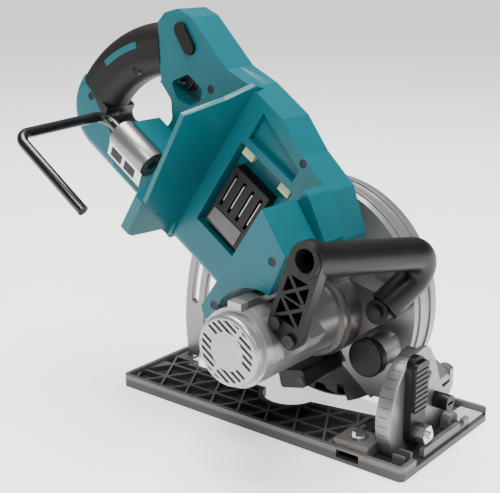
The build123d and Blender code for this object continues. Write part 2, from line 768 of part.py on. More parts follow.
# Bearings and stator
front_bearing_start = GUARD_BOSS_START + 1
cap_bearing_start = MOTOR_END + 2
spindle_bore = SPINDLE_R + RUN
shaft_bore = SHAFT_R + RUN
bearing_end = CASE_FLOOR + BEARING_T
front_bearing_end = front_bearing_start + FRONT_BEARING_T
cap_bearing_end = cap_bearing_start + BEARING_T - 1
ring("spindle_front_bearing", SPINDLE, FRONT_BEARING_R, spindle_bore, front_bearing_start, front_bearing_end)
ring("spindle_rear_bearing", SPINDLE, BEARING_R, spindle_bore, CASE_FLOOR, bearing_end)
ring("rotor_front_bearing", MOTOR, BEARING_R, shaft_bore, CASE_FLOOR, bearing_end)
ring("rotor_rear_bearing", MOTOR, BEARING_R - 2, shaft_bore, cap_bearing_start, cap_bearing_end)
ring("stator", MOTOR, MOTOR_R - MOTOR_WALL, STATOR_BORE_R, STATOR_START, STATOR_START + STATOR_T)

# Bearing box: the gear case's cover, whose boss carries the lower guard
with BuildPart() as bearing_box:
    case_hull(0, GUARD_HALF, CASE_START)
    cylinder(SPINDLE, GUARD_BOSS_R, GUARD_BOSS_START, GUARD_HALF)
    cylinder(SPINDLE, FRONT_BEARING_R, front_bearing_start, CASE_START, mode=Mode.SUBTRACT)
    cylinder(SPINDLE, SPINDLE_R + 1, GUARD_BOSS_START, front_bearing_start, mode=Mode.SUBTRACT)
save(bearing_box, "bearing_box")


def handle_lug(growth, start, end, mode):
    with BuildSketch(body_plane(start)) as profile:
        with Locations(MOTOR):
            Circle(CASE_R - CASE_WALL + growth)
        with Locations(HANDLE_FOOT_UV):
            Circle(HANDLE_LUG_R + growth)
        make_hull()
    extrude(profile.sketch, amount=end - start, mode=mode)


# Gear case with the lug of the front handle
with BuildPart() as gear_case:
    case_hull(0, CASE_START, CASE_END)
    handle_lug(0, CASE_START, HANDLE_LUG_END, Mode.ADD)
    case_hull(-CASE_WALL, CASE_START, CASE_FLOOR, mode=Mode.SUBTRACT)
    cylinder(SPINDLE, BEARING_R, CASE_FLOOR, CASE_FLOOR + BEARING_T, mode=Mode.SUBTRACT)
    cylinder(MOTOR, BEARING_R, CASE_FLOOR, CASE_FLOOR + BEARING_T, mode=Mode.SUBTRACT)
    cylinder(MOTOR, SHAFT_R + 1, CASE_FLOOR, CASE_END, mode=Mode.SUBTRACT)
    cylinder(HANDLE_FOOT_UV, HANDLE_SCREW_R, HANDLE_LUG_END - 8, HANDLE_LUG_END, mode=Mode.SUBTRACT)
save(gear_case, "gear_case")

# Motor housing with its screw ridge and the bracket of the front handle
foot_screws = [(-85.0, 40.5), (-69.0, 38.0)]
ridge_centre = polar(MOTOR_R, 123, MOTOR)
with BuildPart() as motor_housing:
    cylinder(MOTOR, MOTOR_R, CASE_END, MOTOR_END)
    cylinder(MOTOR, CASE_R - 2, CASE_END, CASE_END + 6)
    with BuildSketch(body_plane(CASE_END)):
        with Locations(Location((ridge_centre[0], ridge_centre[1]), 123 - 90)):
            Rectangle(12, 10)
    extrude(amount=MOTOR_END - CASE_END)
    block([(-98, 20), (-67, 15), (-60, 34), (-60, 46), (-94, 50)], LEG_START - 18, LEG_START)
    cylinder(MOTOR, MOTOR_R - MOTOR_WALL, CASE_END + 2, MOTOR_END, mode=Mode.SUBTRACT)
    cylinder(MOTOR, SHAFT_R + 1, CASE_END, CASE_END + 2, mode=Mode.SUBTRACT)
    for screw in foot_screws:
        cylinder(screw, HANDLE_SCREW_R, LEG_START - 8, LEG_START, mode=Mode.SUBTRACT)
save(motor_housing, "motor_housing")

# Vented end cap
with BuildPart() as motor_cap:
    cylinder(MOTOR, CAP_R, MOTOR_END, CAP_END)
    fillet(faces().sort_by(Axis.Y)[0].edges(), 3)
    cylinder(MOTOR, MOTOR_R, MOTOR_END, MOTOR_END + 7)
    with BuildSketch(body_plane(MOTOR_END)):
        with Locations(Location((ridge_centre[0], ridge_centre[1]), 123 - 90)):
            Rectangle(12, 10)
    extrude(amount=8)
    cylinder(MOTOR, CAP_R - 3, MOTOR_END, CAP_END - 3.5, mode=Mode.SUBTRACT)
    cylinder(MOTOR, BEARING_R + 1, cap_bearing_start, CAP_END - 3.5)
    cylinder(MOTOR, BEARING_R - 2, MOTOR_END, CAP_END - 3.5, mode=Mode.SUBTRACT)
    with BuildSketch(body_plane(CAP_END - 3.5)):
        with Locations(MOTOR):
            with GridLocations(1, 4.6, 1, 11):
                Rectangle(2 * CAP_R, 2.3)
            with BuildSketch(mode=Mode.PRIVATE) as vent_field:
                with Locations(MOTOR):
                    Circle(CAP_R - 3.6)
                    Circle(CAP_DISC_R + 3.6, mode=Mode.SUBTRACT)
                    Rectangle(2 * CAP_R, 3.4, mode=Mode.SUBTRACT)
                    Rectangle(3.4, 2 * CAP_R, mode=Mode.SUBTRACT)
        add(vent_field.sketch, mode=Mode.INTERSECT)
    extrude(amount=5, mode=Mode.SUBTRACT)
save(motor_cap, "motor_cap")

# Lower guard that swings up round the bearing box's boss, open beside the teeth on the motor's side
guard_rim = LOWER_GUARD_R - LOWER_GUARD_T
guard_hub_r = GUARD_BOSS_R + GUARD_HUB_WALL
near_bore = GUARD_BOSS_R + GUARD_HUB_WALL / 2
near_inside = LOWER_GUARD_NEAR - LOWER_GUARD_T
far_outside = -LOWER_GUARD_HALF
far_inside = LOWER_GUARD_T - LOWER_GUARD_HALF
rim_end = -HALF_BLADE - BLADE_SIDE_ROOM
bolt_window = FLANGE_R + 8
with BuildPart() as lower_guard:
    sector(SPINDLE, LOWER_GUARD_R, bolt_window, LOWER_GUARD_START, LOWER_GUARD_END, far_outside, far_inside)
    sector(SPINDLE, LOWER_GUARD_R, guard_rim, LOWER_GUARD_START, LOWER_GUARD_END, far_outside, rim_end)
    for start_angle, end_angle in ((LOWER_GUARD_START, -148), (-34, LOWER_GUARD_END)):
        sector(SPINDLE, LOWER_GUARD_R, guard_rim, start_angle, end_angle, far_outside, LOWER_GUARD_NEAR)
        sector(SPINDLE, LOWER_GUARD_R, near_bore, start_angle, end_angle, near_inside, LOWER_GUARD_NEAR)
    sector(SPINDLE, GUARD_BAND_R, near_bore, -75, LOWER_GUARD_END, near_inside, LOWER_GUARD_NEAR)
    cylinder(SPINDLE, guard_hub_r, GUARD_BOSS_START + FIT, LOWER_GUARD_NEAR + 2)
    cylinder(SPINDLE, GUARD_BOSS_R + RUN, GUARD_BOSS_START, GUARD_HALF, mode=Mode.SUBTRACT)
save(lower_guard, "lower_guard")

lever_foot = polar(50, GUARD_ARM_ANGLE, SPINDLE)
with BuildPart() as guard_lever:
    with BuildSketch(body_plane(LOWER_GUARD_NEAR)):
        with Locations(Location((lever_foot[0], lever_foot[1]), GUARD_ARM_ANGLE)):
            RectangleRounded(20, 16, 3)
    extrude(amount=GUARD_ARM_END - LOWER_GUARD_NEAR)
save(guard_lever, "guard_lever")

# Upper guard with the arm of the depth pivot and the dust outlet
outlet = (-42.0, 5.0)
edge_middle = polar(GUARD_EDGE_DROP, -90 - GUARD_EDGE_TILT, SPINDLE)
below_edge = [
    polar(200, -GUARD_EDGE_TILT, edge_middle),
    polar(200, 180 - GUARD_EDGE_TILT, edge_middle),
    polar(280, 225, edge_middle),
    polar(280, -45, edge_middle),
]
guard_bore = UPPER_GUARD_R - GUARD_WALL
guard_inside = GUARD_HALF - GUARD_WALL
with BuildPart() as upper_guard:
    cylinder(SPINDLE, UPPER_GUARD_R, -GUARD_HALF, GUARD_HALF)
    for start in (-10, 6):
        cylinder(SPINDLE, UPPER_GUARD_R + GUARD_RIDGE, start, start + 4)
    block(below_edge, -GUARD_HALF, GUARD_HALF, mode=Mode.SUBTRACT)
    cylinder(SPINDLE, SPINDLE_CASE_R, guard_inside, GUARD_HALF)
    with BuildSketch(body_plane(-GUARD_HALF)):
        with Locations((0, 0), (-24, 0)):
            Circle(PIVOT_HUB_R)
        make_hull()
    extrude(amount=2 * GUARD_HALF)
    cylinder(SPINDLE, guard_bore, -guard_inside, guard_inside, mode=Mode.SUBTRACT)
    cylinder(SPINDLE, bolt_window, -GUARD_HALF, -guard_inside, mode=Mode.SUBTRACT)
    cylinder(outlet, OUTLET_R, guard_inside, OUTLET_END)
    cylinder(outlet, OUTLET_R - OUTLET_WALL, guard_inside, OUTLET_END, mode=Mode.SUBTRACT)
    cylinder(SPINDLE, GUARD_BOSS_R + SEAT, guard_inside, GUARD_HALF, mode=Mode.SUBTRACT)
    sector(SPINDLE, 62, 38, -196, -140, guard_inside, GUARD_HALF, mode=Mode.SUBTRACT)
    sector(SPINDLE, 62, 38, -60, -20, guard_inside, GUARD_HALF, mode=Mode.SUBTRACT)
    cylinder((0, 0), PIVOT_R + RUN, -GUARD_HALF, GUARD_HALF, mode=Mode.SUBTRACT)
save(upper_guard, "upper_guard")

with BuildPart() as dust_cap:
    cylinder(outlet, OUTLET_R + 2.5, OUTLET_END, OUTLET_END + 8)
    fillet(faces().sort_by(Axis.Y)[0].edges(), 2)
    cylinder(outlet, OUTLET_R - OUTLET_WALL - SEAT, OUTLET_END - 9, OUTLET_END)
save(dust_cap, "dust_cap")

# Work lamp under the gear case: a casing along the motor, and its lens that looks at the blade
lamp_centre = polar(CASE_R + LAMP_DROP, LAMP_ANGLE, MOTOR)
lens_centre = polar(CASE_R + LAMP_DROP + LENS_DROP, LAMP_ANGLE, MOTOR)
lamp_start = CASE_END - LAMP_OVERLAP
with BuildPart() as work_lamp:
    with BuildSketch(body_plane(lamp_start)):
        with Locations(Location((lamp_centre[0], lamp_centre[1]), LAMP_ANGLE + 90)):
            RectangleRounded(LAMP_W, LAMP_H, LAMP_ROUND)
    extrude(amount=LAMP_LENGTH)
    case_hull(0, lamp_start, CASE_END, mode=Mode.SUBTRACT)
save(work_lamp, "work_lamp")

with BuildPart() as lamp_lens:
    with BuildSketch(body_plane(lamp_start - LENS_T)):
        with Locations(Location((lens_centre[0], lens_centre[1]), LAMP_ANGLE + 90)):
            RectangleRounded(LAMP_W - 2 * LENS_INSET, LAMP_H - 2 * LENS_INSET, LAMP_ROUND - 1)
    extrude(amount=LENS_T)
save(lamp_lens, "lamp_lens")

# Housing in two halves, with the rear handle
grip_root = polar(GRIP_OUTER, GRIP_START, GRIP_CENTRE)
grip_rear = polar(GRIP_OUTER, 180, GRIP_CENTRE)
grip_inner = GRIP_R - GRIP_DEPTH / 2
housing_top = [
    (-105, 20), (-105, 50), (-110, 73), (-140, 95), (-174, 101), (-205, 112), (-243, 113), (-270, 109),
    (grip_root[0] + 27, grip_root[1] + 25),
    (grip_root[0] + 12, grip_root[1] + 22),
    (grip_root[0] + 2, grip_root[1] + 11),
    grip_root,
]
housing_floor = [
    (grip_rear[0] + grip_rear[1] - FLOOR_V, FLOOR_V), (-168, FLOOR_V), (-160, -42), (-160, -20), (-105, 20),
]
finger_hole = [
    polar(grip_inner + 2.4, 169.8, GRIP_CENTRE),
    polar(grip_inner + 1.8, 142.2, GRIP_CENTRE),
    polar(grip_inner - 4, 128.2, GRIP_CENTRE),
    (-303, 51), (-293, 38), (-296, 10), (-326, -8),
    polar(grip_inner - 0.7, 184.6, GRIP_CENTRE),
]
trigger_hole = [(-311, 63), (-297, 55.5), (-284, 59.5), (-277, 70), (-281, 80), (-300, 80)]
inner_room = [
    (-247, -45), (-172, -45), (-165, -38), (-165, 25), (-150, 40), (-150, 90), (-175, 95), (-206, 106),
    (-243, 107),
]
switch_box = [(-268, 90), (-250, 90), (-250, 103), (-268, 103)]
trigger_room = [(-322.6, 62.9), (-296.4, 62.9), (-296.4, 86.6), (-322.6, 86.6)]
side_screws = [
    polar(grip_inner + GRIP_SCREW_DEPTH, GRIP_SCREW_ANGLE, GRIP_CENTRE),
    polar(GRIP_R, TAIL_SCREW_ANGLE, GRIP_CENTRE),
    (-273.8, 85.3),
    (-170.6, 96.7),
]
clamp_centre = polar(GUIDE_R, 180 - GUIDE_BOLT_ANGLE + BODY_TILT)
lock_centre = (-317.0, 102.5)
room_low = HOUSING_BLADE_SIDE + HOUSING_WALL
room_high = BAY_FLOOR - 4


def housing_outline(start, end):
    middle = polar(GRIP_OUTER, (GRIP_START + 180) / 2, GRIP_CENTRE)
    with BuildSketch(body_plane(start)) as profile:
        with BuildLine():
            Polyline(*housing_top)
            ThreePointArc(grip_root, middle, grip_rear)
            TangentArc(grip_rear, housing_floor[0], tangent=(0, -1))
            Polyline(*housing_floor)
        make_face()
    extrude(profile.sketch, amount=end - start)


def grip_bar(inset, start_angle, end_angle, mode=Mode.ADD):
    angles = (start_angle, (start_angle + end_angle) / 2, end_angle)
    with BuildLine() as path:
        ThreePointArc(*[row_point(*polar(GRIP_R, angle, GRIP_CENTRE), HOUSING_SPLIT) for angle in angles])
    with BuildSketch(Plane(origin=path.line @ 0, x_dir=(0, -1, 0), z_dir=path.line % 0)) as profile:
        RectangleRounded(GRIP_WIDTH - 2 * inset, GRIP_DEPTH - 2 * inset, GRIP_ROUND - inset)
    sweep(profile.sketch, path=path.line, mode=mode)


def opening(points, rounding, start, end):
    with BuildSketch(body_plane(start)) as profile:
        with BuildLine():
            Polyline(*points, close=True)
        make_face()
        fillet(profile.vertices(), rounding)
    extrude(profile.sketch, amount=end - start, mode=Mode.SUBTRACT)


def housing_half(start, end, outside, keep):
    housing_outline(start, end)
    rear_corner = edges().filter_by_position(Axis.Y, -outside, -outside).filter_by(GeomType.CIRCLE)
    fillet(rear_corner, REAR_FILLET)
    hole_r = grip_inner - 4
    sector(GRIP_CENTRE, GRIP_OUTER + 10, hole_r, GRIP_START, GRIP_END, start, end, mode=Mode.SUBTRACT)
    grip_bar(GRIP_SKIN, GRIP_START - GRIP_ROOT, GRIP_END + GRIP_ROOT)
    split(bisect_by=body_plane(HOUSING_SPLIT), keep=keep)
    case_hull(CASE_ROOM, start, end, mode=Mode.SUBTRACT)
    opening(finger_hole, 7, start, end)
    opening(trigger_hole, 4, start, end)


with BuildPart() as housing_left:
    housing_half(HOUSING_BLADE_SIDE, HOUSING_SPLIT, HOUSING_BLADE_SIDE, Keep.BOTTOM)
    block(inner_room, room_low, HOUSING_SPLIT, mode=Mode.SUBTRACT)
    cylinder(clamp_centre, CLAMP_HUB_R, HOUSING_BLADE_SIDE, HOUSING_SPLIT - 3)
    cylinder(clamp_centre, GUIDE_BOLT_R, HOUSING_BLADE_SIDE, HOUSING_SPLIT - 3, mode=Mode.SUBTRACT)
    block(switch_box, SWITCH_LOW, HOUSING_SPLIT, mode=Mode.SUBTRACT)
    block(trigger_room, TRIGGER_LOW - TRIGGER_ROOM, HOUSING_SPLIT, mode=Mode.SUBTRACT)
    for screw in side_screws:
        cylinder(screw, SCREW_SHANK_R, HOUSING_SPLIT - SCREW_BITE, HOUSING_SPLIT, mode=Mode.SUBTRACT)
save(housing_left, "housing_left")

# The right half carries the wing, the front block, the bay for the battery and the hook's mount
wing_points = [(50, -50), (63, -50), (66, -31), (123, 6), (134, 98), (92, 107), (63, 117), (50, 113)]
flap_points = [(62, -50), (75, -40), (112, -37), (120, -32), (122, 3), (110, 40), (62, 52)]
shoulder_points = [(-146, 88), (-113, 75), (-109, 80), (-140, 98), (-146, 99)]
step_points = [(-146, 88.5), (-113, 74.5), (-106, 84), (-146, 100)]
mount_points = [(-305, -18), (-242, -18), (-242, 30), (-305, 30)]
bay_points = [(-226, -14), (-165, -14), (-165, 71), (-226, 71)]
pocket_points = [(-222, 78), (-170, 78), (-170, 90), (-222, 104)]
block_screws = [(-117.4, 66.0), (-137.3, -0.9)]
head_start = HOUSING_MOTOR_SIDE - SCREW_HEAD
block_head_start = BLOCK_REACH - SCREW_HEAD
block_screw_start = BLOCK_REACH - BLOCK_SCREW_LENGTH
with BuildPart() as housing_right:
    housing_half(HOUSING_SPLIT, HOUSING_MOTOR_SIDE, HOUSING_MOTOR_SIDE, Keep.TOP)
    with BuildSketch(cross_plane(WING_FRONT)):
        with BuildLine():
            Polyline(*wing_points, close=True)
        make_face()
    extrude(amount=WING_T)
    with BuildSketch(cross_plane(WING_FRONT - WING_T)):
        with BuildLine():
            Polyline(*flap_points, close=True)
        make_face()
    extrude(amount=WING_FRONT - WING_T - FLAP_BACK)
    # Front block that reaches over the motor
    with BuildSketch(body_plane(HOUSING_MOTOR_SIDE)):
        with BuildLine():
            Polyline((-138, -17), (-146, -11), (-146, 91), (-111, 77), polar(CLEAR_R, 104, MOTOR))
            ThreePointArc(
                polar(CLEAR_R, 104, MOTOR), polar(CLEAR_R, 153, MOTOR), polar(CLEAR_R, 203, MOTOR)
            )
            Line(polar(CLEAR_R, 203, MOTOR), (-138, -17))
        make_face()
    extrude(amount=BLOCK_REACH - HOUSING_MOTOR_SIDE)
    block(shoulder_points, HOUSING_MOTOR_SIDE, SHOULDER_REACH)
    block(step_points, SHOULDER_REACH, BLOCK_STEP, mode=Mode.SUBTRACT)
    # Hook's mount with the round seat of its bracket
    block(mount_points, HOUSING_MOTOR_SIDE, HOOK_W - 4)
    with BuildSketch(cross_plane(BRACKET_FRONT + 6)):
        with Locations((HOOK_W, HOOK_V)):
            Circle(BRACKET_R)
    extrude(amount=60, mode=Mode.SUBTRACT)
    # Bay for the battery's terminals, and the shallow pocket above it
    block(bay_points, BAY_FLOOR, HOUSING_MOTOR_SIDE, mode=Mode.SUBTRACT)
    block(pocket_points, POCKET_FLOOR, HOUSING_MOTOR_SIDE, mode=Mode.SUBTRACT)
    block(inner_room, HOUSING_SPLIT, room_high, mode=Mode.SUBTRACT)
    block(switch_box, HOUSING_SPLIT, SWITCH_HIGH, mode=Mode.SUBTRACT)
    block(trigger_room, HOUSING_SPLIT, TRIGGER_HIGH + TRIGGER_ROOM, mode=Mode.SUBTRACT)
    with BuildSketch(body_plane(HOUSING_SPLIT + 2)):
        with Locations(lock_centre):
            SlotOverall(LOCK_LENGTH + 2 * FIT, LOCK_WIDTH + 2 * FIT, rotation=LOCK_ANGLE)
    extrude(amount=HOUSING_MOTOR_SIDE - HOUSING_SPLIT - 2, mode=Mode.SUBTRACT)
    for screw in side_screws:
        cylinder(screw, SCREW_SHANK_R, HOUSING_SPLIT, HOUSING_MOTOR_SIDE, mode=Mode.SUBTRACT)
        cylinder(screw, SCREW_R + SEAT, head_start, HOUSING_MOTOR_SIDE, mode=Mode.SUBTRACT)
    for screw in block_screws:
        cylinder(screw, SCREW_SHANK_R, block_screw_start, BLOCK_REACH, mode=Mode.SUBTRACT)
        cylinder(screw, SCREW_R + SEAT, block_head_start, BLOCK_REACH, mode=Mode.SUBTRACT)
save(housing_right, "housing_right")

# Soft cover of the rear grip, over the core of both halves
with BuildPart() as grip_cover:
    grip_bar(0, GRIP_START, GRIP_END)
    grip_bar(GRIP_SKIN, GRIP_START, GRIP_END, mode=Mode.SUBTRACT)
    grip_side = HOUSING_SPLIT + GRIP_WIDTH / 2
    cylinder(side_screws[0], SCREW_R + SEAT, HOUSING_SPLIT, grip_side, mode=Mode.SUBTRACT)
save(grip_cover, "grip_cover")

with BuildPart() as housing_screws:
    for screw in side_screws:
        cylinder(screw, SCREW_SHANK_R - RUN, HOUSING_SPLIT - SCREW_BITE, head_start)
        cylinder(screw, SCREW_R, head_start, HOUSING_MOTOR_SIDE - SCREW_SUNK)
    for screw in block_screws:
        cylinder(screw, SCREW_SHANK_R - RUN, block_screw_start, block_head_start)
        cylinder(screw, SCREW_R, block_head_start, BLOCK_REACH - SCREW_SUNK)
save(housing_screws, "housing_screws")

# Trigger, its switch and the lock-off button
with BuildPart() as trigger:
    block(
        [
            (-316, 66.5), (-307, 66.5), (-301.5, 63.5), (-298.5, 61.5),
            (-297, 70), (-297.5, 78), (-300, 86), (-316, 86),
        ],
        TRIGGER_LOW,
        TRIGGER_HIGH,
    )
save(trigger, "trigger")

with BuildPart() as switch:
    block(switch_box, SWITCH_LOW, SWITCH_HIGH)
save(switch, "switch")

with BuildPart() as lock_off:
    with BuildSketch(body_plane(TRIGGER_HIGH + 1)):
        with Locations(lock_centre):
            SlotOverall(LOCK_LENGTH, LOCK_WIDTH, rotation=LOCK_ANGLE)
    extrude(amount=HOUSING_MOTOR_SIDE + LOCK_PROUD - TRIGGER_HIGH - 1)
save(lock_off, "lock_off")

# Battery terminals, the two pads beside them and the controller inside
terminal_end = HOUSING_MOTOR_SIDE - 1
with BuildPart() as terminal_block:
    block([(-220, -8), (-179, -8), (-179, 51), (-220, 51)], BAY_FLOOR, terminal_end)
    for slit in (-216, -206, -196, -186):
        contact = [(slit, 13), (slit + 3, 13), (slit + 3, 45), (slit, 45)]
        block(contact, terminal_end - 8, terminal_end, mode=Mode.SUBTRACT)
save(terminal_block, "terminal_block")

with BuildPart() as bay_pads:
    for pad_u in (-218, -175):
        block([(pad_u - 6, 60), (pad_u + 6, 60), (pad_u + 6, 69), (pad_u - 6, 69)], BAY_FLOOR, BAY_FLOOR + 6)
save(bay_pads, "bay_pads")

with BuildPart() as controller:
    block([(-224, -40), (-170, -40), (-170, 20), (-224, 20)], room_low, HOUSING_SPLIT - 2)
save(controller, "controller")

# Depth clamp: a bolt held in the housing and the lever that turns on it
clamp_tip = (clamp_centre[0] - 25, clamp_centre[1] + 37)
with BuildPart() as depth_bolt:
    cylinder(clamp_centre, GUIDE_BOLT_R - RUN, CLAMP_LOW, HOUSING_SPLIT - 3)
    cylinder(clamp_centre, GUIDE_BOLT_R + 3, CLAMP_LOW - 2, CLAMP_LOW)
save(depth_bolt, "depth_bolt")

with BuildPart() as depth_lever:
    with BuildSketch(body_plane(CLAMP_LOW + RUN)):
        with Locations(clamp_centre):
            Circle(CLAMP_HUB_R)
        with Locations(clamp_tip):
            Circle(6)
        make_hull()
        with Locations(clamp_centre):
            Circle(GUIDE_BOLT_R, mode=Mode.SUBTRACT)
    extrude(amount=GUIDE_W - FIT - CLAMP_LOW - RUN)
save(depth_lever, "depth_lever")

# Front handle: a tube, its bent right leg and the braced left leg
handle_end = row_point(HANDLE_FOOT_UV[0], HANDLE_FOOT_UV[1] + 4, HANDLE_LUG_END + 5)
foot_end = HANDLE_LUG_END + 12
leg_end = LEG_START + LEG_T
handle_top = (HANDLE_LEFT[0], HANDLE_LEFT[1])
leg_middle = ((foot_screws[0][0] + foot_screws[1][0]) / 2, (foot_screws[0][1] + foot_screws[1][1]) / 2)


def leg_point(along, across):
    run_u = handle_top[0] - leg_middle[0]
    run_v = handle_top[1] - leg_middle[1]
    length = (run_u**2 + run_v**2) ** 0.5
    return (
        leg_middle[0] + along * run_u + across * run_v / length,
        leg_middle[1] + along * run_v - across * run_u / length,
    )


def shrunk(corners, share):
    middle_u = sum(corner[0] for corner in corners) / 3
    middle_v = sum(corner[1] for corner in corners) / 3
    return [(middle_u + share * (u - middle_u), middle_v + share * (v - middle_v)) for u, v in corners]


with BuildPart() as front_handle:
    with BuildLine() as handle_path:
        FilletPolyline(row_point(*HANDLE_LEFT), row_point(*HANDLE_RIGHT), handle_end, radius=HANDLE_BEND_R)
    with BuildSketch(Plane(origin=handle_path.line @ 0, z_dir=handle_path.line % 0)):
        Circle(TUBE_R)
    sweep(path=handle_path.line)
    cylinder(HANDLE_FOOT_UV, 10, HANDLE_LUG_END, foot_end)
    with BuildSketch(body_plane(LEG_START)):
        with Locations(handle_top):
            Circle(TUBE_R + 1)
        with Locations(*foot_screws):
            Circle(7)
        make_hull()
    extrude(amount=LEG_T)
    for low, high in ((0.12, 0.44), (0.44, 0.76)):
        half_low = 12 - 2 * low
        half_high = 12 - 2 * high
        corners = [
            leg_point(low, -half_low),
            leg_point(low, half_low),
            leg_point(high, half_high),
            leg_point(high, -half_high),
        ]
        centre = leg_point((low + high) / 2, 0)
        for index in range(4):
            window = shrunk([corners[index], corners[(index + 1) % 4], centre], 0.72)
            block(window, leg_end - 7, leg_end, mode=Mode.SUBTRACT)
    with BuildSketch(Plane(origin=handle_path.line @ 0, z_dir=handle_path.line % 0)):
        Circle(TUBE_BORE_R)
    extrude(amount=40, both=True, mode=Mode.SUBTRACT)
    cylinder(MOTOR, MOTOR_R + SEAT, LEG_START, leg_end, mode=Mode.SUBTRACT)
    cylinder(HANDLE_FOOT_UV, HANDLE_SCREW_R, HANDLE_LUG_END - 6, foot_end, mode=Mode.SUBTRACT)
    handle_lug(FIT, CASE_START, HANDLE_LUG_END, Mode.SUBTRACT)
    for screw in foot_screws:
        cylinder(screw, HANDLE_SCREW_R, LEG_START, leg_end, mode=Mode.SUBTRACT)
save(front_handle, "front_handle")

with BuildPart() as handle_screws:
    for screw in foot_screws:
        cylinder(screw, HANDLE_SCREW_R - RUN, LEG_START - 8, leg_end)
        cylinder(screw, HANDLE_HEAD_R, leg_end, leg_end + HANDLE_HEAD_T)
    cylinder(HANDLE_FOOT_UV, HANDLE_SCREW_R - RUN, HANDLE_LUG_END - 8, foot_end)
    cylinder(HANDLE_FOOT_UV, HANDLE_HEAD_R, foot_end, foot_end + HANDLE_HEAD_T)
save(handle_screws, "handle_screws")

# Hanging hook that swings in its bracket
with BuildPart() as hook_bracket:
    with BuildSketch(cross_plane(BRACKET_FRONT)):
        with Locations((HOOK_W, HOOK_V)):
            Circle(BRACKET_R)
    extrude(amount=BRACKET_FRONT - BRACKET_BACK)
    with BuildSketch(cross_plane(HOOK_SEAT + 1)):
        with Locations((HOOK_W, HOOK_V)):
            Circle(HOOK_R + RUN)
    extrude(amount=HOOK_SEAT + 1 - BRACKET_BACK, mode=Mode.SUBTRACT)
save(hook_bracket, "hook_bracket")

with BuildPart() as hook:
    with BuildLine() as hook_path:
        FilletPolyline(
            row_point(HOOK_SEAT, HOOK_V, HOOK_W),
            row_point(HOOK_BACK, HOOK_V, HOOK_W),
            row_point(HOOK_BACK + 6, HOOK_V, HOOK_W + HOOK_REACH),
            row_point(HOOK_TIP, HOOK_V, HOOK_W + HOOK_REACH),
            radius=HOOK_BEND_R,
        )
    with BuildSketch(Plane(origin=hook_path.line @ 0, z_dir=hook_path.line % 0)):
        Circle(HOOK_R)
    sweep(path=hook_path.line)
save(hook, "hook")
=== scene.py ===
import json
import math

import bmesh
import bpy
from mathutils import Matrix, Vector


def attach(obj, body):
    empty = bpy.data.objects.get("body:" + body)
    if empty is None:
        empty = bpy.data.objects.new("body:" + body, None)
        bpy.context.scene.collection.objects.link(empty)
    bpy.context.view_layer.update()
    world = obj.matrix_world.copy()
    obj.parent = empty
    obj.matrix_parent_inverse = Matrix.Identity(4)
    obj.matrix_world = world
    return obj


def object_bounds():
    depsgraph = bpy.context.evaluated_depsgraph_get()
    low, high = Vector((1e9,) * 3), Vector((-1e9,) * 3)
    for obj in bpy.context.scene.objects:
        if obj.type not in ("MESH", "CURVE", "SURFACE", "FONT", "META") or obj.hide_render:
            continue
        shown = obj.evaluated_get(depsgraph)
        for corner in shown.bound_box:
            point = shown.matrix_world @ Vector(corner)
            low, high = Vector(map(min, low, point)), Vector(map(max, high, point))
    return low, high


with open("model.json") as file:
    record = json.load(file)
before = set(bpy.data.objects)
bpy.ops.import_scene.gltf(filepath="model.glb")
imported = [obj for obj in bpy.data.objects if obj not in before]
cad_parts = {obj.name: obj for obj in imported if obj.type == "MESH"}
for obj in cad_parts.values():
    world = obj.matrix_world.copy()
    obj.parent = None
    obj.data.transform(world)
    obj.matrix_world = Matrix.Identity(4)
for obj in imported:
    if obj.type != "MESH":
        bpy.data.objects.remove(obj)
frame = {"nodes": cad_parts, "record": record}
cad_low, cad_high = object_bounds()

# Camera at the photograph's angle, in metres and degrees
CAMERA_PLACE = Vector((0.3630, -0.6909, 0.3724))
CAMERA_YAW = 51.5
CAMERA_PITCH = 16.0
CAMERA_LENS = 74.43
SENSOR = 36.0
FLOOR_SIZE = 40.0

# The saw's tilted body: u forward, v up, w towards the motor, in millimetres
BODY_TILT = math.radians(34.5)
PIVOT_Z = 40.0
GRIP_CENTRE = (-269.0, -10.0)
HOOK_CENTRE = (96.0, 16.0)
MILLIMETRE = 0.001

# Edges of the CAD nodes: below this angle an edge stays as it is
BEVEL_ANGLE = 32.0
WELD_REACH = 0.00001

# Surfaces: size of the mottling, spread of the gloss and height of the grain
CLOUD_SCALE = 28.0
GLOSS_SPREAD = 0.07
GRAIN_HEIGHT = 0.0004
BORDER_BLUR = 0.0003

# Rib tops of the sole, from where a highlight is painted on, in metres
RIB_HIGHLIGHT_START = 0.0062
RIB_TOP = 0.0080


def noise(nodes, links, coordinates, scale, detail=4.0):
    texture = nodes.new("ShaderNodeTexNoise")
    texture.inputs["Scale"].default_value = scale
    texture.inputs["Detail"].default_value = detail
    links.new(coordinates.outputs["Object"], texture.inputs["Vector"])
    return texture


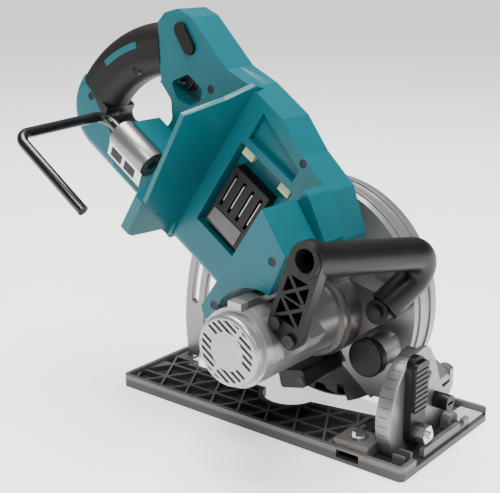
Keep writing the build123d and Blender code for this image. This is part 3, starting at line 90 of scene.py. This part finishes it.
def material(
    name, colour, roughness, metallic=0.0, grain=900.0, bump=0.05, mottle=0.08, coat=0.0, glow=0.0, shine=0.5,
):
    """A moulded, cast or ground surface: fine grain, a little mottling and uneven gloss."""
    made = bpy.data.materials.new(name)
    made.use_nodes = True
    nodes = made.node_tree.nodes
    links = made.node_tree.links
    shader = nodes["Principled BSDF"]
    coordinates = nodes.new("ShaderNodeTexCoord")
    cloud = noise(nodes, links, coordinates, CLOUD_SCALE)
    fine = noise(nodes, links, coordinates, grain, 2.0)
    blend = nodes.new("ShaderNodeMix")
    blend.data_type = "RGBA"
    blend.inputs["A"].default_value = (*[c * (1 - mottle) for c in colour], 1)
    blend.inputs["B"].default_value = (*[min(1.0, c * (1 + mottle)) for c in colour], 1)
    links.new(cloud.outputs["Fac"], blend.inputs["Factor"])
    links.new(blend.outputs["Result"], shader.inputs["Base Color"])
    gloss = nodes.new("ShaderNodeMapRange")
    gloss.inputs["To Min"].default_value = max(0.05, roughness - GLOSS_SPREAD)
    gloss.inputs["To Max"].default_value = min(1.0, roughness + GLOSS_SPREAD)
    links.new(fine.outputs["Fac"], gloss.inputs["Value"])
    links.new(gloss.outputs["Result"], shader.inputs["Roughness"])
    relief = nodes.new("ShaderNodeBump")
    relief.inputs["Strength"].default_value = bump
    relief.inputs["Distance"].default_value = GRAIN_HEIGHT
    links.new(fine.outputs["Fac"], relief.inputs["Height"])
    links.new(relief.outputs["Normal"], shader.inputs["Normal"])
    shader.inputs["Metallic"].default_value = metallic
    shader.inputs["Coat Weight"].default_value = coat
    shader.inputs["Specular IOR Level"].default_value = shine
    if glow > 0:
        links.new(blend.outputs["Result"], shader.inputs["Emission Color"])
        shader.inputs["Emission Strength"].default_value = glow
    return made


def recolour(look, share, colour):
    """Mixes a second colour into a look, by the share that a socket gives."""
    nodes = look.node_tree.nodes
    links = look.node_tree.links
    shader = nodes["Principled BSDF"]
    first = shader.inputs["Base Color"].links[0].from_socket
    mix = nodes.new("ShaderNodeMix")
    mix.data_type = "RGBA"
    links.new(share, mix.inputs["Factor"])
    links.new(first, mix.inputs["A"])
    mix.inputs["B"].default_value = (*colour, 1)
    links.new(mix.outputs["Result"], shader.inputs["Base Color"])


def painted_highlight_by_height(look, low, high, colour):
    """Paints a highlight towards the top of a casting, lighter up to the tops of its ribs."""
    nodes = look.node_tree.nodes
    links = look.node_tree.links
    coordinates = nodes.new("ShaderNodeTexCoord")
    parts = nodes.new("ShaderNodeSeparateXYZ")
    links.new(coordinates.outputs["Object"], parts.inputs["Vector"])
    rise = nodes.new("ShaderNodeMapRange")
    rise.inputs["From Min"].default_value = low
    rise.inputs["From Max"].default_value = high
    links.new(parts.outputs["Z"], rise.inputs["Value"])
    recolour(look, rise.outputs["Result"], colour)


def region_skinned(look, borders, colour):
    """Colours what lies left of every border of a moulding, each border given by two points of the body."""
    nodes = look.node_tree.nodes
    links = look.node_tree.links
    coordinates = nodes.new("ShaderNodeTexCoord")
    across = math.cos(BODY_TILT)
    down = math.sin(BODY_TILT)
    share = None
    for (u, v), (next_u, next_v) in borders:
        length = math.hypot(next_u - u, next_v - v)
        left_u = (v - next_v) / length
        left_v = (next_u - u) / length
        left_x = left_u * across + left_v * down
        left_z = left_v * across - left_u * down
        reach = nodes.new("ShaderNodeVectorMath")
        reach.operation = "DOT_PRODUCT"
        links.new(coordinates.outputs["Object"], reach.inputs[0])
        reach.inputs[1].default_value = (left_x, 0.0, left_z)
        start = (left_u * u + left_v * v + PIVOT_Z * left_z) * MILLIMETRE
        inside = nodes.new("ShaderNodeMapRange")
        inside.inputs["From Min"].default_value = start
        inside.inputs["From Max"].default_value = start + BORDER_BLUR
        links.new(reach.outputs["Value"], inside.inputs["Value"])
        if share is None:
            share = inside.outputs["Result"]
        else:
            both = nodes.new("ShaderNodeMath")
            both.operation = "MULTIPLY"
            links.new(share, both.inputs[0])
            links.new(inside.outputs["Result"], both.inputs[1])
            share = both.outputs["Value"]
    recolour(look, share, colour)


GRIP_BLACK = (0.008, 0.0065, 0.007)
# Painted highlight colour of the sole's rib tops
PAINTED_RIB_HIGHLIGHT = (0.14, 0.132, 0.125)
LOOKS = {}


def slot_look(name, *values, **details):
    """The look of every CAD node in one material slot."""
    LOOKS[name] = material(name, *values, **details)


slot_look("cast_dark", (0.055, 0.051, 0.048), 0.45, 0.35, grain=700.0, bump=0.12)
slot_look("cast_pale", (0.25, 0.24, 0.23), 0.36, 0.8, grain=700.0, bump=0.1)
slot_look("guard_grey", (0.29, 0.285, 0.28), 0.38, 0.7, grain=800.0, bump=0.08)
slot_look("motor_silver", (0.19, 0.182, 0.175), 0.34, 0.75, grain=800.0, bump=0.08)
slot_look("zinc", (0.55, 0.56, 0.57), 0.24, 0.95, grain=1200.0, bump=0.04)
slot_look("sight_pale", (0.5, 0.51, 0.5), 0.3, 0.1, grain=600.0, bump=0.03)
slot_look("black_plastic", (0.0035, 0.0033, 0.0033), 0.4, grain=1100.0, bump=0.12, shine=0.25)
slot_look("blade_steel", (0.05, 0.046, 0.044), 0.4, 0.45, grain=500.0)
slot_look("drive_steel", (0.4, 0.4, 0.41), 0.3, 0.9, bump=0.04)
slot_look("laminated_steel", (0.16, 0.15, 0.14), 0.5, 0.7, bump=0.1)
slot_look(
    "teal_plastic", (0.0, 0.098, 0.12), 0.36, grain=1200.0, bump=0.06,
    mottle=0.05, coat=0.03, shine=0.3,
)
slot_look("grip_rubber", GRIP_BLACK, 0.55, grain=1000.0, bump=0.25, shine=0.25)
slot_look("pad_green", (0.52, 0.56, 0.28), 0.5, grain=800.0, bump=0.06)
slot_look("lamp_clear", (0.66, 0.68, 0.69), 0.25, grain=600.0, bump=0.03)
slot_look("hook_black", (0.004, 0.0037, 0.0036), 0.24, bump=0.04, coat=0.2)
# Painted highlight: the sole's rib tops are coloured lighter than its pockets
painted_highlight_by_height(LOOKS["cast_dark"], RIB_HIGHLIGHT_START, RIB_TOP, PAINTED_RIB_HIGHLIGHT)

# The soft grip runs on into the lower corner of the finger hole
corner_borders = [
    ((-386.6, -1.5), (-339.4, -21.5)),
    ((-337.0, -60.0), (-337.0, 60.0)),
    ((-300.0, 14.0), (-400.0, 14.0)),
]
region_skinned(LOOKS["teal_plastic"], corner_borders, GRIP_BLACK)

BLACK_SCREW = material("black_screw", (0.02, 0.02, 0.021), 0.32, 0.7, grain=1100.0)
CAP_SILVER = material("cap_silver", (0.34, 0.335, 0.325), 0.33, 0.75, grain=800.0, bump=0.06)
GEAR_GREY = material("gear_grey", (0.115, 0.108, 0.103), 0.36, 0.75, grain=800.0, bump=0.08)
# Painted shade: the lower guard is darkened to stand in for the shaded blade below the outlet
GUARD_SHADE_STEEL = material("guard_shade_steel", (0.075, 0.07, 0.067), 0.36, 0.7, grain=800.0, bump=0.06)
# Painted shade: a near-black look laid over the insides of holes and openings
HOLE_SHADE = material("painted_hole_shade", (0.006, 0.006, 0.006), 0.7)
MARK = material("mark", (0.03, 0.03, 0.03), 0.6, bump=0.02)
LABEL = material("label", (0.085, 0.08, 0.078), 0.4, 0.1, bump=0.03)
NODE_LOOKS = {
    "housing_screws": BLACK_SCREW,
    "handle_screws": BLACK_SCREW,
    "motor_cap": CAP_SILVER,
    "gear_case": GEAR_GREY,
    "bearing_box": GEAR_GREY,
    "lower_guard": GUARD_SHADE_STEEL,
}

for entry in frame["record"]["subparts"]:
    node = frame["nodes"][entry["node"]]
    node.data.materials.clear()
    node.data.materials.append(NODE_LOOKS.get(entry["node"], LOOKS[entry["material_slot"]]))


def soften(name, width, segments=2):
    """Rounds the sharp edges of a CAD node by modifiers only, with the width in millimetres."""
    node = frame["nodes"][name]
    weld = node.modifiers.new("weld", "WELD")
    weld.merge_threshold = WELD_REACH
    bevel = node.modifiers.new("bevel", "BEVEL")
    bevel.width = width * MILLIMETRE
    bevel.segments = segments
    bevel.limit_method = "ANGLE"
    bevel.angle_limit = math.radians(BEVEL_ANGLE)
    bevel.use_clamp_overlap = True


for name, width in (
    ("housing_right", 1.6),
    ("housing_left", 1.6),
    ("front_handle", 0.8),
    ("gear_case", 1.2),
    ("bearing_box", 1.0),
    ("motor_housing", 1.0),
    ("upper_guard", 0.8),
    ("bevel_quadrant", 0.7),
    ("front_carriage", 0.8),
    ("fence_bridge", 1.0),
    ("bevel_lever", 1.0),
    ("fence_screw", 0.5),
    ("stop_knob", 0.8),
    ("lock_off", 1.2),
    ("trigger", 1.5),
    ("work_lamp", 1.2),
    ("guard_lever", 1.5),
    ("hook_bracket", 0.8),
    ("depth_lever", 1.2),
    ("depth_guide", 0.5),
    ("terminal_block", 0.6),
    ("bay_pads", 0.6),
    ("handle_screws", 0.6),
    ("hook", 1.2),
    ("sight_plate", 0.3),
):
    soften(name, width)


def row(u, v, w):
    """A point of the tilted body, in metres of the shared frame."""
    across = math.cos(BODY_TILT)
    down = math.sin(BODY_TILT)
    return Vector((u * across + v * down, -w, PIVOT_Z - u * down + v * across)) * MILLIMETRE


def polar(radius, degrees_up, centre=(0.0, 0.0)):
    angle = math.radians(degrees_up)
    return (centre[0] + radius * math.cos(angle), centre[1] + radius * math.sin(angle))


def mesh_piece(name, shape, look, body):
    bmesh.ops.recalc_face_normals(shape, faces=shape.faces)
    mesh = bpy.data.meshes.new(name)
    shape.to_mesh(mesh)
    shape.free()
    mesh.materials.append(look)
    piece = bpy.data.objects.new(name, mesh)
    bpy.context.scene.collection.objects.link(piece)
    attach(piece, body)
    return piece


def loft(name, first, second, look, body):
    """A closed solid between two outlines with the same number of points."""
    shape = bmesh.new()
    lower = [shape.verts.new(point) for point in first]
    upper = [shape.verts.new(point) for point in second]
    shape.faces.new(lower)
    shape.faces.new(upper)
    for index in range(len(lower)):
        after = (index + 1) % len(lower)
        shape.faces.new((lower[index], lower[after], upper[after], upper[index]))
    return mesh_piece(name, shape, look, body)


def prism(name, points, start, end, look, body="saw"):
    return loft(name, [row(u, v, start) for u, v in points], [row(u, v, end) for u, v in points], look, body)


def arc_band(name, centre, inner, outer, start_angle, end_angle, start, end, look, body="saw", steps=24):
    """A curved band in the body's plane, made of closed short pieces in one mesh."""
    angles = [start_angle + (end_angle - start_angle) * step / steps for step in range(steps + 1)]
    shape = bmesh.new()
    rings = []
    for angle in angles:
        ring = []
        for radius, w in ((inner, start), (outer, start), (outer, end), (inner, end)):
            u, v = polar(radius, angle, centre)
            ring.append(shape.verts.new(row(u, v, w)))
        rings.append(ring)
    for before, after in zip(rings, rings[1:]):
        for index in range(4):
            following = (index + 1) % 4
            shape.faces.new((before[index], before[following], after[following], after[index]))
    shape.faces.new(rings[0])
    shape.faces.new(rings[-1])
    return mesh_piece(name, shape, look, body)


def rod(name, start, end, radius, look, body="saw", sides=20):
    shape = bmesh.new()
    line = end - start
    turn = line.to_track_quat("Z", "Y").to_matrix().to_4x4()
    place = Matrix.Translation((start + end) / 2) @ turn
    bmesh.ops.create_cone(
        shape, cap_ends=True, segments=sides, radius1=radius * MILLIMETRE, radius2=radius * MILLIMETRE,
        depth=line.length, matrix=place,
    )
    return mesh_piece(name, shape, look, body)


# Teal stripe in the grip
arc_band("grip_stripe", GRIP_CENTRE, 113.5, 119.0, 140.0, 160.5, 61.0, 63.2, LOOKS["teal_plastic"])

# Contacts in the terminal block's slits, and its bare plate
SLITS = (-216.0, -206.0, -196.0, -186.0)
CONTACT_INSET = 1.1
CONTACT_WIDTH = 0.8
CONTACT_LOW = 17.0
CONTACT_HIGH = 41.0
for index, slit in enumerate(SLITS):
    back = slit + CONTACT_INSET
    front = back + CONTACT_WIDTH
    outline = [(back, CONTACT_LOW), (front, CONTACT_LOW), (front, CONTACT_HIGH), (back, CONTACT_HIGH)]
    prism(f"contact_{index}", outline, 52.5, 59.6, LOOKS["drive_steel"])
plate_outline = [(-218, -5), (-184, -6.5), (-184.5, 9), (-217, 8)]
prism("terminal_plate", plate_outline, 60.5, 61.7, LABEL)

# Screw in the lamp's casing
LAMP_SCREW = (-58.5, -17.0)
rod("lamp_screw", row(*LAMP_SCREW, 99.5), row(*LAMP_SCREW, 100.7), 3.0, BLACK_SCREW)


def along_hook(name, outline, back, front, look):
    """A bar along the hook's bracket, with its outline as pairs of w and v."""
    loft(name, [row(back, v, w) for w, v in outline], [row(front, v, w) for w, v in outline], look, "saw")


# Folded plate under the hook's bracket with two dark sheets of painted shade in its windows, and a dark disc
# of painted shade at the end of its tube
plate = [(106.2, 9.6), (102.0, -5.0), (100.4, -5.0), (104.0, 8.0)]
window = [(105.6, 6.3), (103.0, -2.7), (101.9, -2.4), (104.5, 6.6)]
along_hook("bracket_plate", plate, -308.0, -266.0, LOOKS["zinc"])
for index, (window_back, window_front) in enumerate(((-304.0, -291.0), (-287.0, -274.0))):
    along_hook(f"bracket_window_shade_{index}", window, window_back, window_front, HOLE_SHADE)
hook_w, hook_v = HOOK_CENTRE
rod("bracket_hole_shade", row(-268.5, hook_v, hook_w), row(-267.8, hook_v, hook_w), 4.6, HOLE_SHADE)

# Sockets in the heads of the handle's screws, as dark hexagons of painted shade, each with the place and the
# end of its head
HANDLE_SCREWS = ((-85.0, 40.5, 149.0), (-69.0, 38.0, 149.0), (-56.0, 46.0, 59.0))
SOCKET_R = 2.3
SOCKET_DEPTH = 0.4
SOCKET_PROUD = 0.1
for index, (screw_u, screw_v, head_end) in enumerate(HANDLE_SCREWS):
    start = row(screw_u, screw_v, head_end - SOCKET_DEPTH)
    end = row(screw_u, screw_v, head_end + SOCKET_PROUD)
    rod(f"handle_socket_shade_{index}", start, end, SOCKET_R, HOLE_SHADE, sides=6)

# Scale marks, in metres of the shared frame
MARK_DEPTH = 0.0006
MARK_PROUD = 0.0001
BAND_CENTRE = Vector((0.0045, -0.03299, 0.03353))
BAND_R = 0.04996
BAND_START = -18.0
BAND_STEP = 8.5
BAND_HALF_WIDTH = 0.0003
SIGHT_EDGE_X = 0.0262
SIGHT_START_Y = 0.016
SIGHT_STEP = 0.0033
SIGHT_TOP = 0.00648
SIGHT_HALF_WIDTH = 0.00025


def mark(name, middle, half_length, half_width, rise):
    """A thin dark bar let into the surface, with its top just above it."""
    corners = [
        middle - half_length - half_width,
        middle + half_length - half_width,
        middle + half_length + half_width,
        middle - half_length + half_width,
    ]
    lower = [corner - rise * MARK_DEPTH for corner in corners]
    upper = [corner + rise * MARK_PROUD for corner in corners]
    loft(name, lower, upper, MARK, "base")


# Marks round the quadrant's band, every fifth one longer
for index in range(11):
    angle = math.radians(BAND_START + BAND_STEP * index)
    radial = Vector((0.0, -math.cos(angle), math.sin(angle)))
    along = Vector((0.0, math.sin(angle), math.cos(angle)))
    half_length = Vector((0.0058 if index % 5 == 0 else 0.0038, 0.0, 0.0))
    mark(f"bevel_mark_{index}", BAND_CENTRE + radial * BAND_R, half_length, along * BAND_HALF_WIDTH, radial)

# Marks across the sight plate, every third one longer
for index in range(7):
    half = 0.0045 if index % 3 == 0 else 0.0026
    middle = Vector((SIGHT_EDGE_X - half, SIGHT_START_Y + SIGHT_STEP * index, SIGHT_TOP))
    half_width = Vector((0, SIGHT_HALF_WIDTH, 0))
    mark(f"sight_mark_{index}", middle, Vector((half, 0, 0)), half_width, Vector((0, 0, 1)))

# Floor, light and camera
bpy.ops.mesh.primitive_plane_add(size=FLOOR_SIZE, location=(0, 0, 0))
floor = bpy.context.object
floor.name = "floor"
floor_look = material("floor_pale", (0.93, 0.93, 0.93), 0.8, grain=60.0, bump=0.0, mottle=0.01, glow=1.0)
floor.data.materials.append(floor_look)


def area_light(name, place, target, size, power):
    data = bpy.data.lights.new(name, "AREA")
    data.shape = "DISK"
    data.size = size
    data.energy = power
    lamp = bpy.data.objects.new(name, data)
    lamp.location = place
    lamp.rotation_euler = (Vector(target) - Vector(place)).to_track_quat("-Z", "Y").to_euler()
    bpy.context.scene.collection.objects.link(lamp)


OBJECT_MIDDLE = (cad_low + cad_high) / 2
area_light("key", (0.6, -1.1, 1.5), OBJECT_MIDDLE, 0.6, 24)
area_light("fill", (1.6, 0.3, 0.9), OBJECT_MIDDLE, 1.0, 6)
area_light("top", (-0.3, 0.1, 2.0), OBJECT_MIDDLE, 1.4, 85)

world = bpy.data.worlds.new("studio")
world.use_nodes = True
backdrop = world.node_tree.nodes["Background"]
backdrop.inputs["Color"].default_value = (0.97, 0.98, 1.0, 1)
backdrop.inputs["Strength"].default_value = 0.3
bpy.context.scene.world = world

yaw = math.radians(CAMERA_YAW)
pitch = math.radians(CAMERA_PITCH)
forward = Vector((-math.cos(yaw) * math.cos(pitch), math.sin(yaw) * math.cos(pitch), -math.sin(pitch)))
lens = bpy.data.cameras.new("camera")
lens.lens = CAMERA_LENS
lens.sensor_width = SENSOR
camera = bpy.data.objects.new("camera", lens)
camera.location = CAMERA_PLACE
camera.rotation_euler = forward.to_track_quat("-Z", "Y").to_euler()
bpy.context.scene.collection.objects.link(camera)
bpy.context.scene.camera = camera
